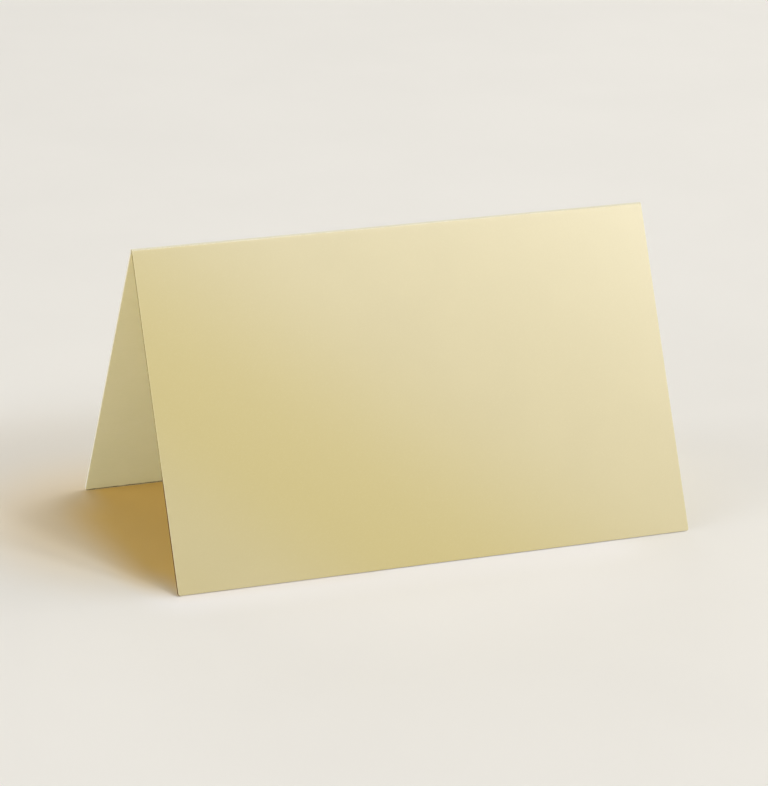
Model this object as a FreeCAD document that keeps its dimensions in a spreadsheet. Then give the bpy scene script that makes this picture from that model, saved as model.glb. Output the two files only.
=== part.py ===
"""Folded place card: one sheet of plain card, scored and folded once, standing as a tent.

Millimetres. The fold runs along X, the front panel faces -Y and +Z is up. The origin is on the
surface that the card stands on, midway between its two feet and midway along the fold.
"""
import FreeCAD, Part
import math
import os
import Sketcher

NODE = "folded_card"

# The driving dimensions, in millimetres, and in degrees for the angle.
SIZES = {
    "card_width": 100.0,  # along the fold
    "panel_length": 62.7,  # outer face, from the foot to where the two outer faces would meet
    "thickness": 0.5,  # of the sheet
    "opening_angle": 51.8,  # between the two panels
    "crease_radius": 0.05,  # of the bend's inside, so its outside is this plus the thickness
    "bead_width": 0.4,  # of the ridge that scoring raises along the inside of the fold
    "bead_rise": 0.1,  # of that ridge into the tent
    "corner_radius": 0.4,  # of the sheet's four corners, in the sheet's own plane
}

# The section's elements in the order they are drawn: its outline, anticlockwise from the back
# foot, and then the two points that only its dimensions need.
(
    BACK_OUTER,
    BEND,
    FRONT_OUTER,
    FRONT_FOOT,
    FRONT_INNER,
    BEAD,
    BACK_INNER,
    BACK_FOOT,
    APEX,
    BEAD_TIP,
) = range(10)

# Sketcher's own numbers for its axes and for the points of an element.
HORIZONTAL_AXIS, VERTICAL_AXIS = range(-1, -3, -1)
START, END, CENTRE = range(1, 4)

TOLERANCE = 1e-6


def add_sizes(doc):
    """Write the driving dimensions into a spreadsheet, each in a cell with its own name."""
    sheet = doc.addObject("Spreadsheet::Sheet", "Sizes")
    for row, (name, value) in enumerate(SIZES.items(), start=1):
        sheet.set(f"A{row}", name)
        sheet.set(f"B{row}", str(value))
        sheet.setAlias(f"B{row}", name)
    doc.recompute()
    return sheet


def section_points(sheet):
    """Where the points of the section lie, as (y, z); those off the axis are the back panel's."""
    half_angle = math.radians(sheet.opening_angle / 2)
    sine, cosine = math.sin(half_angle), math.cos(half_angle)
    bend_radius = sheet.crease_radius + sheet.thickness
    foot_y, foot_z = sheet.panel_length * sine, sheet.thickness * sine
    apex_z = foot_z + sheet.panel_length * cosine
    bend_z = apex_z - bend_radius / sine
    bead_z = apex_z - sheet.thickness / sine - sheet.bead_width / 2 * cosine / sine
    return {
        "outer_foot": (foot_y, foot_z),
        "inner_foot": (foot_y - sheet.thickness * cosine, 0),
        "bend_end": (bend_radius * cosine, bend_z + bend_radius * sine),
        "bend_top": (0, bend_z + bend_radius),
        "apex": (0, apex_z),
        "bead_end": (sheet.bead_width / 2, bead_z),
        "bead_tip": (0, bead_z - sheet.bead_rise),
    }


def draw_section(sketch, points):
    """Draw the outline of the folded sheet and the two points that its dimensions need."""

    def back(name):
        y, z = points[name]
        return FreeCAD.Vector(y, z, 0)

    def front(name):
        y, z = points[name]
        return FreeCAD.Vector(-y, z, 0)

    outline = [
        Part.LineSegment(back("outer_foot"), back("bend_end")),
        Part.Arc(back("bend_end"), back("bend_top"), front("bend_end")),
        Part.LineSegment(front("bend_end"), front("outer_foot")),
        Part.LineSegment(front("outer_foot"), front("inner_foot")),
        Part.LineSegment(front("inner_foot"), front("bead_end")),
        Part.Arc(front("bead_end"), back("bead_tip"), back("bead_end")),
        Part.LineSegment(back("bead_end"), back("inner_foot")),
        Part.LineSegment(back("inner_foot"), back("outer_foot")),
    ]
    sketch.addGeometry(outline, False)
    sketch.addGeometry([Part.Point(back("apex")), Part.Point(back("bead_tip"))], True)


def join_section(sketch):
    """Close the outline, make it symmetric, and set its legs parallel and its feet square."""
    sketch.addConstraint(
        [
            Sketcher.Constraint("Tangent", BACK_OUTER, END, BEND, START),
            Sketcher.Constraint("Tangent", BEND, END, FRONT_OUTER, START),
            Sketcher.Constraint("Coincident", FRONT_OUTER, END, FRONT_FOOT, START),
            Sketcher.Constraint("Coincident", FRONT_FOOT, END, FRONT_INNER, START),
            Sketcher.Constraint("Coincident", FRONT_INNER, END, BEAD, START),
            Sketcher.Constraint("Coincident", BEAD, END, BACK_INNER, START),
            Sketcher.Constraint("Coincident", BACK_INNER, END, BACK_FOOT, START),
            Sketcher.Constraint("Coincident", BACK_FOOT, END, BACK_OUTER, START),
            Sketcher.Constraint("Symmetric", BACK_OUTER, START, FRONT_OUTER, END, VERTICAL_AXIS),
            Sketcher.Constraint("Symmetric", BACK_INNER, END, FRONT_INNER, START, VERTICAL_AXIS),
            Sketcher.Constraint("PointOnObject", BEND, CENTRE, VERTICAL_AXIS),
            Sketcher.Constraint("PointOnObject", BEAD, CENTRE, VERTICAL_AXIS),
            Sketcher.Constraint("PointOnObject", BACK_INNER, END, HORIZONTAL_AXIS),
            Sketcher.Constraint("Parallel", BACK_INNER, BACK_OUTER),
            Sketcher.Constraint("Parallel", FRONT_INNER, FRONT_OUTER),
            Sketcher.Constraint("Perpendicular", BACK_FOOT, BACK_OUTER),
            Sketcher.Constraint("PointOnObject", APEX, START, VERTICAL_AXIS),
            Sketcher.Constraint("PointOnObject", APEX, START, BACK_OUTER),
            Sketcher.Constraint("PointOnObject", BEAD_TIP, START, VERTICAL_AXIS),
            Sketcher.Constraint("PointOnObject", BEAD_TIP, START, BEAD),
        ]
    )


def size_section(sketch, sheet):
    """Give the section its dimensions, each bound to the spreadsheet."""
    lean = math.radians(90 + sheet.opening_angle / 2)
    bend_radius = sheet.crease_radius + sheet.thickness
    dimensions = {
        "panel_length": (
            Sketcher.Constraint("Distance", BACK_OUTER, START, APEX, START, sheet.panel_length),
            "Sizes.panel_length",
        ),
        "thickness": (
            Sketcher.Constraint("Distance", BACK_FOOT, START, BACK_FOOT, END, sheet.thickness),
            "Sizes.thickness",
        ),
        "lean": (
            Sketcher.Constraint("Angle", BACK_OUTER, lean),
            "(90 + Sizes.opening_angle / 2) * 1 deg",
        ),
        "bend_radius": (
            Sketcher.Constraint("Radius", BEND, bend_radius),
            "Sizes.crease_radius + Sizes.thickness",
        ),
        "bead_width": (
            Sketcher.Constraint("DistanceX", BEAD, START, BEAD, END, sheet.bead_width),
            "Sizes.bead_width",
        ),
        "bead_rise": (
            Sketcher.Constraint("DistanceY", BEAD_TIP, START, BEAD, END, sheet.bead_rise),
            "Sizes.bead_rise",
        ),
    }
    for name, (constraint, expression) in dimensions.items():
        index = sketch.addConstraint(constraint)
        sketch.renameConstraint(index, name)
        sketch.setExpression(f"Constraints.{name}", expression)


def add_section(body, sheet):
    """Sketch the card's section on the body's own YZ plane."""
    sketch = body.newObject("Sketcher::SketchObject", "Section")
    plane = next(item for item in body.Origin.OriginFeatures if item.Role == "YZ_Plane")
    sketch.AttachmentSupport = (plane, [""])
    sketch.MapMode = "FlatFace"
    draw_section(sketch, section_points(sheet))
    join_section(sketch)
    size_section(sketch, sheet)
    return sketch


def add_length(body, sketch):
    """Run the section along the fold, half the card's width to each side."""
    pad = body.newObject("PartDesign::Pad", "Width")
    pad.Profile = sketch
    pad.SideType = "Symmetric"
    pad.setExpression("Length", "Sizes.card_width")
    return pad


def corner_edges(shape, sheet):
    """Names of the short edges that run through the sheet at its four corners."""
    names = []
    for number, edge in enumerate(shape.Edges, start=1):
        through_sheet = abs(edge.Length - sheet.thickness) < TOLERANCE
        at_side = abs(abs(edge.CenterOfMass.x) - sheet.card_width / 2) < TOLERANCE
        on_floor = abs(edge.BoundBox.ZMin) < TOLERANCE
        if through_sheet and at_side and on_floor:
            names.append(f"Edge{number}")
    return names


def add_corners(body, pad, sheet):
    """Round the sheet's four corners."""
    fillet = body.newObject("PartDesign::Fillet", "Corners")
    fillet.Base = (pad, corner_edges(pad.Shape, sheet))
    fillet.setExpression("Radius", "Sizes.corner_radius")
    return fillet


def check(doc, sketch, pad, fillet, body):
    """Stop if anything in the document failed, or if the card isn't one sound solid."""
    for item in doc.Objects:
        if "Invalid" in item.State or "Error" in item.State:
            raise RuntimeError(f"{item.Label} failed: {item.State}")
    if not sketch.FullyConstrained:
        raise RuntimeError("the section is not fully constrained")
    shape = body.Shape
    if shape.isNull() or not shape.isValid() or len(shape.Solids) != 1:
        raise RuntimeError("the card is not one valid solid")
    if fillet.Shape.Volume >= pad.Shape.Volume:
        raise RuntimeError("the corners were not rounded")


def main():
    doc = FreeCAD.newDocument("PlaceCard")
    sheet = add_sizes(doc)
    body = doc.addObject("PartDesign::Body", "Card")
    body.Label = NODE
    body.Placement = FreeCAD.Placement()
    sketch = add_section(body, sheet)
    pad = add_length(body, sketch)
    doc.recompute()
    fillet = add_corners(body, pad, sheet)
    body.Tip = fillet
    doc.recompute()
    check(doc, sketch, pad, fillet, body)

    os.makedirs("parts", exist_ok=True)
    body.Shape.exportStep(f"parts/{body.Label}.step")
    box = body.Shape.BoundBox
    print(f"{body.Label}: {box.XLength:.2f} x {box.YLength:.2f} x {box.ZLength:.2f} mm")
    print(f"solid volume {body.Shape.Volume:.1f} mm3, lowest point at z = {box.ZMin:.4f} mm")


main()
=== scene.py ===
"""A folded pearl-gold place card on a pale table, in soft studio light.

The card is one sheet with one fold. Its mesh is drawn here from the CAD node's box and
the sheet's own sizes, finely enough for the rolled fold, the pressed bead under it, the
eased corners and the broken cut edges, and it stands for the CAD node.

Metres and radians, in the CAD frame: the fold runs along X, the front panel faces -Y, and
the card stands on Z = 0.
"""

from math import asin, cos, pi, radians, sin

import bpy
from mathutils import Matrix, Vector


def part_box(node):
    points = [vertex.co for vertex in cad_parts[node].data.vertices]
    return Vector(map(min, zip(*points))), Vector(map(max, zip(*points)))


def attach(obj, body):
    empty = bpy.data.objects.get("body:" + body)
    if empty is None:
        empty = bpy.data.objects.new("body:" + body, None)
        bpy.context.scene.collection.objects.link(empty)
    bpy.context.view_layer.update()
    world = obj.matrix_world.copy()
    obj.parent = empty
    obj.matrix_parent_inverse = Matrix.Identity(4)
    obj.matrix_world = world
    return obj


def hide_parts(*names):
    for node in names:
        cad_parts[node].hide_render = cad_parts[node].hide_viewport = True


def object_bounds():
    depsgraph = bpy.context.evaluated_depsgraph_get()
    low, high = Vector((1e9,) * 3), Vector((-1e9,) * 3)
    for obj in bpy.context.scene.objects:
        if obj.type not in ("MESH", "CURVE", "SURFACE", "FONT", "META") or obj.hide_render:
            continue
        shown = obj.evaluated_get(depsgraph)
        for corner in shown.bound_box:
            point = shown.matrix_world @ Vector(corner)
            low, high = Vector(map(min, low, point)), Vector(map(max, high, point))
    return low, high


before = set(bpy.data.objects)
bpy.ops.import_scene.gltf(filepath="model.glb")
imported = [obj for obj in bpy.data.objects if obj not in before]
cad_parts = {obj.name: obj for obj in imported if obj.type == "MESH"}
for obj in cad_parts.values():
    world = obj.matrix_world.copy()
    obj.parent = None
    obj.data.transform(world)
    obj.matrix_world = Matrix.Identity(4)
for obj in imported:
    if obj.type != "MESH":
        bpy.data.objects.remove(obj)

NODE = "folded_card"
CAD_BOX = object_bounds()
MM = 0.001

# The sheet
THICKNESS = 0.5 * MM
HALF_ANGLE = radians(51.8 / 2)  # between a panel and the upright
BEND_RADIUS = 0.55 * MM  # outside of the fold
BEAD_WIDTH = 0.4 * MM  # the ridge that scoring presses up inside the fold
BEAD_RISE = 0.1 * MM
CORNER_RADIUS = 0.4 * MM
EDGE_BREAK = 0.03 * MM
# Its mesh
CELL = 1.0 * MM  # size of the faces on the panels
BEND_STEPS = 24
CORNER_TURNS = range(0, 90, 15)  # degrees round a corner, from the foot
SHARP_ANGLE = radians(40)
BROKEN_ANGLE = radians(60)
BREAK_STEPS = 2
PEARL_SLOT, BARE_SLOT, CUT_SLOT = range(3)

NOISE_SPAN = (0.3, 0.7)  # where most values of a noise lie
WIDE_SPAN = (0.2, 0.8)

# The outer face: pearl ink on smooth board
PEARL = {
    "deep": (0.565, 0.477, 0.225),  # the ink's cloudiness runs between these two
    "light": (0.578, 0.489, 0.233),
    "painted_sheen": (0.556, 0.454, 0.154),  # painted sheen: a slanting band where the ink is a warmer gold, standing for warm light reflected from the panel
    "sheen_across": (0.59, 0.0, 0.81),  # the way across the band
    "sheen_rises": (-23 * MM, -2 * MM),  # along that way, from none to full
    "sheen_falls": (32 * MM, 2 * MM),  # the same from the band's other side
    "fleck": (0.680, 0.610, 0.330),  # mica flecks in the ink
    "fleck_from": 0.7,  # the brighter flecks, from this value up, tell in the colour
    "fleck_share": 0.08,
    "wear_and_highlight": (0.800, 0.765, 0.620),  # where the ink is rubbed thin; along the fold it is also a painted highlight on the roll
    # along the fold, partly wear and partly a painted highlight
    "fold_wear_and_highlight": 0.8,
    "side_wear": 0.12,
    "rough": (0.31, 0.285),  # from the dullest fleck to the brightest
    "wear_and_highlight_rough": 0.3,  # what the full wear and painted highlight add to it
    "ior": 1.9,
    "cloud_size": 14.0 * MM,
    "fleck_size": 0.16 * MM,
    "grain_size": 0.3 * MM,
    "wear_and_highlight_width": 0.28 * MM,
    "bump": 0.0010 * MM,
}
# The reverse: bare board, with its fibres along the fold
BARE = {
    "deep": (0.918, 0.838, 0.512),
    "light": (0.943, 0.857, 0.541),
    "shade_span": (0.6, 1.4),  # of the fibres and the cloudiness, added up
    "rough": (0.7, 0.55),
    "specular": 0.25,
    "foot": (0.14, 0.075, 0.004),  # painted contact shadow: a dark line along the foot, where it stands on the table
    "cloud_size": 5.0 * MM,
    "fibre_size": 0.2 * MM,
    "fibre_stretch": (0.18, 1.0, 1.0),
    "contact_shadow_width": 0.32 * MM,
    "bump": 0.012 * MM,
}
# The cut edge: thin layers of board
CUT = {
    "deep": (0.88, 0.86, 0.80),
    "light": (0.94, 0.92, 0.87),
    "yellowed": (0.71, 0.66, 0.52),  # by fingers, at both ends of the fold
    "yellowed_share": 0.85,
    "painted_end_shade": (0.33, 0.26, 0.10),  # painted shade on the front panel's left end
    "painted_deep_shade": (0.11, 0.045, 0.002),  # deeper painted shade at the bottom of that
    "deep_shade_height": (21.85 * MM, 16.15 * MM),  # none above the first, full below the last
    "end_depth": (0.6 * MM, 0.1 * MM),  # in from an end: where the yellowing and the painted shade start and are full
    "front_half": (0.3 * MM, -0.3 * MM),  # the same along Y, across the fold
    "rough": (0.8, 0.6),
    "specular": 0.1,
    "layer_size": 0.25 * MM,
    "layer_squash": 8.0,
    "bump": 0.010 * MM,
}
TABLE = {
    "colour": (0.85, 0.82, 0.76),
    "cloud_shade": 0.985,
    "rough": (0.86, 0.94),
    "specular": 0.1,
    "cloud_size": 45.0 * MM,
    "grain_size": 0.8 * MM,
    "bump": 0.010 * MM,
    "radius": 3.0,
    "sides": 96,
}
# The gold light that the panels throw on the table and hold between them, as a tint of
# the table. Each soft shape, in mm: its centre, half its size, the width over which it
# fades, all as X and Y, and its strength
GLOW_COLOUR = (0.85, 0.582, 0.207)
GLOW = {
    "between_panels": ((-30, 0), (16, 26.5), (6, 0.4), 1.0),
    "toward_right_end": ((-14, 0), (0, 26.5), (32, 0.4), 1.0),
    "open_end": ((-32, 0), (17, 10.5), (11.5, 21), 1.0),
    "around_open_end": ((-48, 10.5), (0, 0), (40, 43), 0.63),
    "far": ((-65, 40), (15, 10), (40, 35), 0.09),
}
# The light that the front panel throws on the table before it, as a tint in the same way
BOUNCE_COLOUR = (0.93, 0.905, 0.89)
BOUNCE = {
    "at_front_foot": ((-8, -27.4), (38, 0), (14, 12), 0.86),
    "before_front_panel": ((-5, -27.4), (21, 0), (42, 46), 0.45),
}

# The camera, aimed near the middle of the card's box
CAMERA = {
    "azimuth": 22.445,  # to the left of straight on
    "elevation": 19.791,
    "roll": 1.656,
    "distance": 0.68125,
    "aim": (-0.7 * MM, 0.0, -4.53 * MM),  # from the box's centre
    "lens": 168.5,
    "clip": (0.01, 20.0),
}
# Soft boxes: degrees to the right of the front, degrees up, distance and size in
# metres, radiance
LAMPS = {
    "key": (41, 30, 2.0, (0.3, 0.3), 28.7),
    "key_middle": (28, 40, 2.0, (0.3, 0.3), 19.5),
    "key_high": (24, 62, 2.0, (0.6, 0.3), 10.9),
    "right": (105, 25, 2.0, (1.0, 0.8), 2.5),
    "right_high": (100, 55, 2.0, (1.2, 0.8), 2.2),
    "back": (178, 28, 2.0, (1.2, 0.8), 0.9),
    "back_low": (174, 7, 5.0, (3.0, 1.2), 4.0),
    "back_high": (180, 55, 2.0, (1.8, 1.2), 0.4),
    "left": (-90, 16, 5.0, (4.5, 2.5), 2.0),
    "left_low": (-68, 8, 5.0, (5.0, 1.4), 5.4),
}
WORLD_STRENGTH = 0.245


def direction(azimuth, elevation):
    """The way from the card towards something seen at this azimuth and elevation."""
    a, e = radians(azimuth), radians(elevation)
    return Vector((sin(a) * cos(e), -cos(a) * cos(e), sin(e)))


def box_centre():
    low, high = CAD_BOX
    return (low + high) / 2


# ---- the card's mesh ------------------------------------------------------------


def mirrored(point):
    return Vector((-point.x, point.y))


def panel_rows(foot, level):
    """Pairs of outer and inner points in the YZ plane up the front panel, from its foot
    until its inner face is at this Y, each with its distance from the sheet's end."""
    down = Vector((-sin(HALF_ANGLE), -cos(HALF_ANGLE)))
    out = Vector((-cos(HALF_ANGLE), sin(HALF_ANGLE)))
    inner_foot = foot - THICKNESS * out
    length = (level - inner_foot.x) / sin(HALF_ANGLE)
    flat = length - CORNER_RADIUS
    count = round(flat / CELL)
    along = [CORNER_RADIUS * (1 - cos(radians(turn))) for turn in CORNER_TURNS]
    along += [CORNER_RADIUS + flat * i / count for i in range(count + 1)]
    return [(foot - d * down, inner_foot - d * down, d) for d in along]


def fold_rows(start, top):
    """The rows over the fold, between the two panels' last rows: the roll outside, and
    the bead that scoring leaves inside."""
    shoulder, bead_edge, end = start
    down = Vector((-sin(HALF_ANGLE), -cos(HALF_ANGLE)))
    centre = Vector((0.0, top - BEND_RADIUS))
    straight = (centre + BEND_RADIUS * Vector((down.y, -down.x)) - shoulder).length
    roll = BEND_RADIUS * (pi - 2 * HALF_ANGLE)
    whole = 2 * straight + roll
    bead_radius = (BEAD_WIDTH**2 / 4 + BEAD_RISE**2) / (2 * BEAD_RISE)
    bead_half = asin(BEAD_WIDTH / 2 / bead_radius)
    bead_centre = Vector((0.0, bead_edge.y - BEAD_RISE + bead_radius))
    rows = []
    for i in range(1, BEND_STEPS):
        share = i / BEND_STEPS
        gone = whole * share
        if gone <= straight:
            outer = shoulder - gone * down
        elif gone >= straight + roll:
            outer = mirrored(shoulder - (whole - gone) * down)
        else:
            turn = HALF_ANGLE + (gone - straight) / BEND_RADIUS
            outer = centre + BEND_RADIUS * Vector((-cos(turn), sin(turn)))
        swing = bead_half * (2 * share - 1)
        inner = bead_centre + bead_radius * Vector((sin(swing), -cos(swing)))
        rows.append((outer, inner, end))
    return rows


def sheet_rows():
    low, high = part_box(NODE)
    foot = Vector((low.y, low.z + THICKNESS * sin(HALF_ANGLE)))
    front = panel_rows(foot, -BEAD_WIDTH / 2)
    back = [(mirrored(outer), mirrored(inner), end) for outer, inner, end in reversed(front)]
    return front + fold_rows(front[-1], high.z) + back


def card_mesh():
    """The sheet as rows of points across its outer and inner faces, joined at its edges."""
    low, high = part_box(NODE)
    middle, half = (low.x + high.x) / 2, (high.x - low.x) / 2
    columns = round(2 * half / CELL)
    wide = columns + 1
    rows = sheet_rows()
    last = len(rows) - 1

    points = []
    for outer, inner, end in rows:
        lift = max(CORNER_RADIUS - end, 0.0)  # nearer the foot than the corner's centre
        reach = half - CORNER_RADIUS + (CORNER_RADIUS**2 - lift**2) ** 0.5
        for face in (outer, inner):
            for j in range(wide):
                points.append((middle + reach * (2 * j / columns - 1), face.x, face.y))

    def at(row, face, column):
        return (2 * row + face) * wide + column

    outer, inner, cut = [], [], []
    for k in range(last):
        for j in range(columns):
            outer.append((at(k, 0, j), at(k, 0, j + 1), at(k + 1, 0, j + 1), at(k + 1, 0, j)))
            inner.append((at(k, 1, j), at(k + 1, 1, j), at(k + 1, 1, j + 1), at(k, 1, j + 1)))
        j = columns
        cut.append((at(k, 0, 0), at(k + 1, 0, 0), at(k + 1, 1, 0), at(k, 1, 0)))
        cut.append((at(k, 0, j), at(k, 1, j), at(k + 1, 1, j), at(k + 1, 0, j)))
    for j in range(columns):
        cut.append((at(0, 0, j), at(0, 1, j), at(0, 1, j + 1), at(0, 0, j + 1)))
        cut.append((at(last, 0, j), at(last, 0, j + 1), at(last, 1, j + 1), at(last, 1, j)))

    mesh = bpy.data.meshes.new("card_sheet")
    mesh.from_pydata(points, [], outer + inner + cut)
    slots = [PEARL_SLOT] * len(outer) + [BARE_SLOT] * len(inner) + [CUT_SLOT] * len(cut)
    for polygon, slot in zip(mesh.polygons, slots):
        polygon.use_smooth = True
        polygon.material_index = slot
    mesh.set_sharp_from_angle(angle=SHARP_ANGLE)
    mesh.validate()
    return mesh


def add_card():
    piece = bpy.data.objects.new("card_sheet", card_mesh())
    bpy.context.scene.collection.objects.link(piece)
    for make in (pearl_material, bare_material, cut_material):
        piece.data.materials.append(make())
    bevel = piece.modifiers.new("broken_edges", "BEVEL")
    bevel.width = EDGE_BREAK
    bevel.segments = BREAK_STEPS
    bevel.limit_method = "ANGLE"
    bevel.angle_limit = BROKEN_ANGLE
    bevel.harden_normals = True
    bevel.material = CUT_SLOT
    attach(piece, "root")
    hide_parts(NODE)


# ---- materials ------------------------------------------------------------------


def material(name, **sockets):
    """A new material, with these sockets set on its shader, and its node tree."""
    made = bpy.data.materials.new(name)
    made.use_nodes = True
    shader = made.node_tree.nodes["Principled BSDF"]
    for socket, value in sockets.items():
        shader.inputs[socket.replace("_", " ")].default_value = value
    return made, made.node_tree


def node(tree, kind, *sockets, **settings):
    """A new node. Each socket is (its name or number, a value or another node's output)."""
    made = tree.nodes.new("ShaderNode" + kind)
    for name, value in settings.items():
        setattr(made, name, value)
    for socket, value in sockets:
        if isinstance(value, bpy.types.NodeSocket):
            tree.links.new(value, made.inputs[socket])
        else:
            made.inputs[socket].default_value = value
    return made


def noise(tree, place, size, detail=3.0):
    """Noise from 0 to 1, with features of about this size."""
    sockets = ("Vector", place), ("Scale", 1 / size), ("Detail", detail)
    return node(tree, "TexNoise", *sockets).outputs[0]


def cells(tree, place, size):
    """A value of its own, from 0 to 1, for each small cell of about this size."""
    made = node(tree, "TexVoronoi", ("Vector", place), ("Scale", 1 / size))
    return node(tree, "SeparateColor", (0, made.outputs["Color"])).outputs[0]


def calculate(tree, operation, *values):
    return node(tree, "Math", *enumerate(values), operation=operation).outputs[0]


def ranged(tree, value, start, end, low=0.0, high=1.0):
    """A smooth step from low, where the value is start, to high, where it is end."""
    names = "Value", "From Min", "From Max", "To Min", "To Max"
    values = zip(names, (value, start, end, low, high))
    return node(tree, "MapRange", *values, interpolation_type="SMOOTHSTEP").outputs[0]


def mixed(tree, share, first, second):
    """A colour between two colours, each an RGB triple or another node's output."""
    sockets = [("Factor", share)]
    for name, colour in (("A", first), ("B", second)):
        sockets.append((name, (*colour, 1.0) if isinstance(colour, tuple) else colour))
    return node(tree, "Mix", *sockets, data_type="RGBA").outputs["Result"]


def finish(tree, colour, roughness, height, bump):
    shader = tree.nodes["Principled BSDF"]
    normal = node(tree, "Bump", ("Height", height), ("Distance", bump)).outputs["Normal"]
    for socket, value in (("Base Color", colour), ("Roughness", roughness), ("Normal", normal)):
        tree.links.new(value, shader.inputs[socket])


def object_place(tree):
    return node(tree, "TexCoord").outputs["Object"]


def near(tree, distance, width, wobble):
    """1 at no distance, falling to 0 at about this width. The wobble, from 0 to 1, makes
    the border uneven, by up to the width."""
    uneven = calculate(tree, "MULTIPLY_ADD", wobble, width, distance)
    return ranged(tree, uneven, width * 0.5, width * 1.5, 1.0, 0.0)


def sheet_borders(tree, place):
    """How far each place on the sheet is from its cut sides, its feet and its fold."""
    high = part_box(NODE)[1]
    x, _, z = node(tree, "SeparateXYZ", (0, place)).outputs
    side = calculate(tree, "SUBTRACT", high.x, calculate(tree, "ABSOLUTE", x))
    foot = calculate(tree, "MULTIPLY", z, 1 / cos(HALF_ANGLE))
    fold = calculate(tree, "SUBTRACT", high.z, z)
    return side, foot, fold


def painted_sheen_share(tree, place):
    """How much of the painted sheen, a slanting band of warmer gold, each place shows, from 0 to
    1.
    """
    sockets = (0, place), (1, PEARL["sheen_across"])
    across = node(tree, "VectorMath", *sockets, operation="DOT_PRODUCT").outputs["Value"]
    rises = ranged(tree, across, *PEARL["sheen_rises"])
    return calculate(tree, "MULTIPLY", rises, ranged(tree, across, *PEARL["sheen_falls"]))


def pearl_material():
    made, tree = material("pearl_card", IOR=PEARL["ior"])
    place = object_place(tree)
    cloud = noise(tree, place, PEARL["cloud_size"])
    grain = noise(tree, place, PEARL["grain_size"])
    fleck = cells(tree, place, PEARL["fleck_size"])
    side, _, fold = sheet_borders(tree, place)
    side_worn = near(tree, side, PEARL["wear_and_highlight_width"], grain)
    # along the fold, wear and a painted highlight on the top of the roll
    fold_wear_and_highlight_share = near(tree, fold, PEARL["wear_and_highlight_width"], grain)
    side_worn = calculate(tree, "MULTIPLY", side_worn, PEARL["side_wear"])
    fold_wear_and_highlight_share = calculate(tree, "MULTIPLY", fold_wear_and_highlight_share, PEARL["fold_wear_and_highlight"])
    wear_and_highlight = calculate(tree, "MAXIMUM", fold_wear_and_highlight_share, side_worn)
    flecked = ranged(tree, fleck, PEARL["fleck_from"], 1.0, 0.0, PEARL["fleck_share"])
    colour = mixed(tree, ranged(tree, cloud, *NOISE_SPAN), PEARL["deep"], PEARL["light"])
    # painted sheen: a slanting band of warmer gold across the panel
    colour = mixed(tree, painted_sheen_share(tree, place), colour, PEARL["painted_sheen"])
    colour = mixed(tree, flecked, colour, PEARL["fleck"])
    # worn ink at the sides; along the fold, partly wear and partly a painted highlight
    colour = mixed(tree, wear_and_highlight, colour, PEARL["wear_and_highlight"])
    roughness = ranged(tree, fleck, 0.0, 1.0, *PEARL["rough"])
    roughness = calculate(tree, "MULTIPLY_ADD", wear_and_highlight, PEARL["wear_and_highlight_rough"], roughness)
    finish(tree, colour, roughness, grain, PEARL["bump"])
    return made


def bare_material():
    made, tree = material("bare_reverse", Specular_IOR_Level=BARE["specular"])
    place = object_place(tree)
    run = node(tree, "VectorMath", (0, place), (1, BARE["fibre_stretch"]), operation="MULTIPLY")
    fibres = noise(tree, run.outputs[0], BARE["fibre_size"])
    cloud = noise(tree, place, BARE["cloud_size"])
    shade = ranged(tree, calculate(tree, "ADD", fibres, cloud), *BARE["shade_span"])
    colour = mixed(tree, shade, BARE["deep"], BARE["light"])
    _, foot, _ = sheet_borders(tree, place)
    # painted contact shadow: a dark line along the foot of the reverse
    colour = mixed(tree, near(tree, foot, BARE["contact_shadow_width"], fibres), colour, BARE["foot"])
    roughness = ranged(tree, fibres, *WIDE_SPAN, *BARE["rough"])
    finish(tree, colour, roughness, fibres, BARE["bump"])
    return made


def layers_place(tree, place):
    """A place whose second part runs quickly through the sheet's thickness, so that a
    noise comes out as thin layers along the sheet."""
    x, y, z = node(tree, "SeparateXYZ", (0, place)).outputs
    squash = CUT["layer_squash"]
    over = calculate(tree, "ABSOLUTE", y)
    up = calculate(tree, "MULTIPLY", z, sin(HALF_ANGLE) * squash)
    depth = calculate(tree, "MULTIPLY_ADD", over, cos(HALF_ANGLE) * squash, up)
    return node(tree, "CombineXYZ", ("X", x), ("Y", depth), ("Z", z)).outputs[0]


def yellowing_and_shade_shares(tree, place):
    """How yellowed each place on the cut edge is, and how much painted shade it takes on the
    front panel's left end, deeper at its bottom.
    """
    x, y, z = node(tree, "SeparateXYZ", (0, place)).outputs
    side, _, _ = sheet_borders(tree, place)
    left_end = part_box(NODE)[0].x
    start, full = CUT["end_depth"]
    left = ranged(tree, x, left_end + start, left_end + full)
    low = ranged(tree, z, *CUT["deep_shade_height"])
    yellowed = ranged(tree, side, start, full, 0.0, CUT["yellowed_share"])
    painted_end_shade = calculate(tree, "MULTIPLY", ranged(tree, y, *CUT["front_half"]), left)
    return yellowed, painted_end_shade, calculate(tree, "MULTIPLY", painted_end_shade, low)


def cut_material():
    made, tree = material("cut_edge", Specular_IOR_Level=CUT["specular"])
    place = object_place(tree)
    layers = noise(tree, layers_place(tree, place), CUT["layer_size"])
    colour = mixed(tree, ranged(tree, layers, *NOISE_SPAN), CUT["deep"], CUT["light"])
    # yellowing, then painted shade on the front panel's left end, deeper at its bottom
    for share, name in zip(yellowing_and_shade_shares(tree, place), ("yellowed", "painted_end_shade", "painted_deep_shade")):
        colour = mixed(tree, share, colour, CUT[name])
    roughness = ranged(tree, layers, *WIDE_SPAN, *CUT["rough"])
    finish(tree, colour, roughness, layers, CUT["bump"])
    return made


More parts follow.
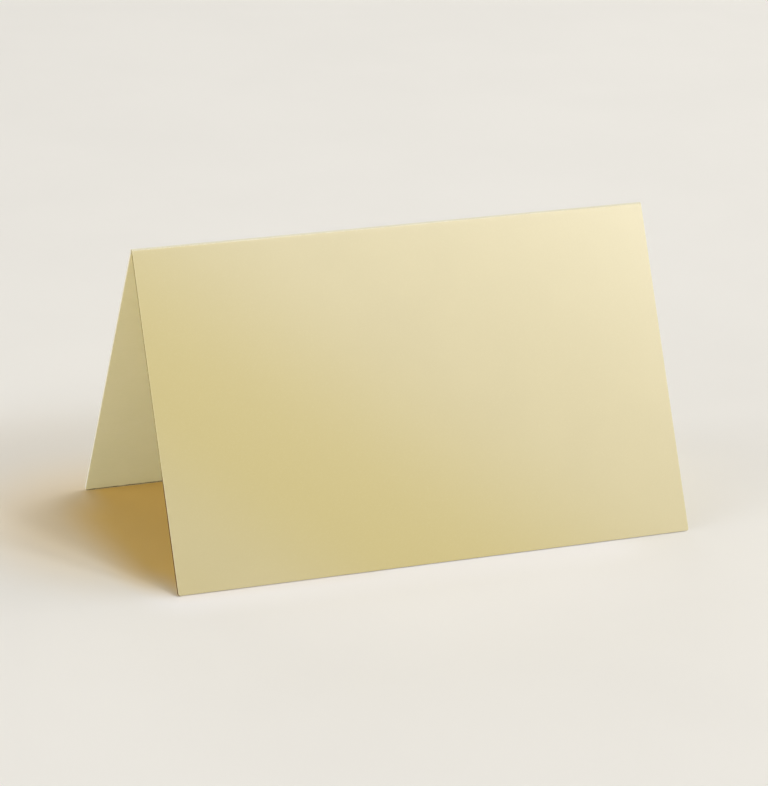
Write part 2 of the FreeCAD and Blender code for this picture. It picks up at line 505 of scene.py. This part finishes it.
def tint_share(tree, place, shapes):
    """How much of a tint each place on the table shows, from 0 to 1. The camera and
    reflections see it, but diffuse light doesn't, so that it lights nothing on the card."""
    plain = 1.0
    for centre, half, fade, strength in shapes.values():
        away = place
        for operation, by in (
            ("SUBTRACT", (*centre, 0.0)),
            ("ABSOLUTE", None),
            ("SUBTRACT", (*half, 1.0)),
            ("MAXIMUM", (0.0, 0.0, 0.0)),
            ("DIVIDE", (*fade, 1.0)),
        ):
            sockets = [(0, away)] + ([(1, by)] if by else [])
            away = node(tree, "VectorMath", *sockets, operation=operation).outputs[0]
        away = node(tree, "VectorMath", (0, away), operation="LENGTH").outputs["Value"]
        left = ranged(tree, away, 0.0, 1.0, 1.0 - strength, 1.0)
        plain = calculate(tree, "MULTIPLY", left, plain)
    rays = node(tree, "LightPath").outputs
    seen = calculate(tree, "MAXIMUM", rays["Is Camera Ray"], rays["Is Glossy Ray"])
    seen = calculate(tree, "MAXIMUM", seen, rays["Is Transmission Ray"])
    return calculate(tree, "MULTIPLY", seen, calculate(tree, "SUBTRACT", 1.0, plain))


def table_material():
    made, tree = material("table", Specular_IOR_Level=TABLE["specular"])
    place = object_place(tree)
    in_mm = node(tree, "VectorMath", (0, place), ("Scale", 1 / MM), operation="SCALE").outputs[0]
    cloud = noise(tree, place, TABLE["cloud_size"])
    grain = noise(tree, place, TABLE["grain_size"])
    bare = TABLE["colour"]
    clouded = tuple(TABLE["cloud_shade"] * c for c in bare)
    colour = mixed(tree, ranged(tree, cloud, *NOISE_SPAN), bare, clouded)
    colour = mixed(tree, tint_share(tree, in_mm, BOUNCE), colour, BOUNCE_COLOUR)
    colour = mixed(tree, tint_share(tree, in_mm, GLOW), colour, GLOW_COLOUR)
    roughness = ranged(tree, grain, *WIDE_SPAN, *TABLE["rough"])
    finish(tree, colour, roughness, grain, TABLE["bump"])
    return made


# ---- the studio -----------------------------------------------------------------


def add_table():
    low, _ = CAD_BOX
    count, radius = TABLE["sides"], TABLE["radius"]
    turns = [2 * pi * i / count for i in range(count)]
    ring = [(radius * cos(turn), radius * sin(turn), low.z) for turn in turns]
    mesh = bpy.data.meshes.new("table_top")
    mesh.from_pydata(ring, [], [tuple(range(count))])
    mesh.materials.append(table_material())
    table = bpy.data.objects.new("table_top", mesh)
    bpy.context.scene.collection.objects.link(table)


def add_camera():
    back = direction(-CAMERA["azimuth"], CAMERA["elevation"])
    level = Vector((-back.y, back.x, 0.0)).normalized()
    rise = back.cross(level)
    roll = radians(CAMERA["roll"])
    right = level * cos(roll) + rise * sin(roll)
    up = back.cross(right)
    place = box_centre() + Vector(CAMERA["aim"]) + back * CAMERA["distance"]
    data = bpy.data.cameras.new("camera")
    data.lens = CAMERA["lens"]
    data.clip_start, data.clip_end = CAMERA["clip"]
    camera = bpy.data.objects.new("camera", data)
    turned = Matrix((right, up, back)).transposed().to_4x4()
    camera.matrix_world = Matrix.Translation(place) @ turned
    bpy.context.scene.collection.objects.link(camera)
    bpy.context.scene.camera = camera


def add_lamps():
    for name, (azimuth, elevation, distance, size, radiance) in LAMPS.items():
        way = direction(azimuth, elevation)
        data = bpy.data.lights.new(name, "AREA")
        data.shape = "RECTANGLE"
        data.size, data.size_y = size
        data.energy = radiance * pi * size[0] * size[1]
        lamp = bpy.data.objects.new(name, data)
        lamp.location = box_centre() + way * distance
        lamp.rotation_euler = (-way).to_track_quat("-Z", "Y").to_euler()
        lamp.visible_camera = False
        bpy.context.scene.collection.objects.link(lamp)


def add_world():
    world = bpy.data.worlds.new("studio")
    world.use_nodes = True
    background = world.node_tree.nodes["Background"]
    background.inputs["Color"].default_value = (1.0, 1.0, 1.0, 1.0)
    background.inputs["Strength"].default_value = WORLD_STRENGTH
    bpy.context.scene.world = world


add_card()
add_table()
add_camera()
add_lamps()
add_world()
bpy.context.scene.view_settings.view_transform = "Standard"
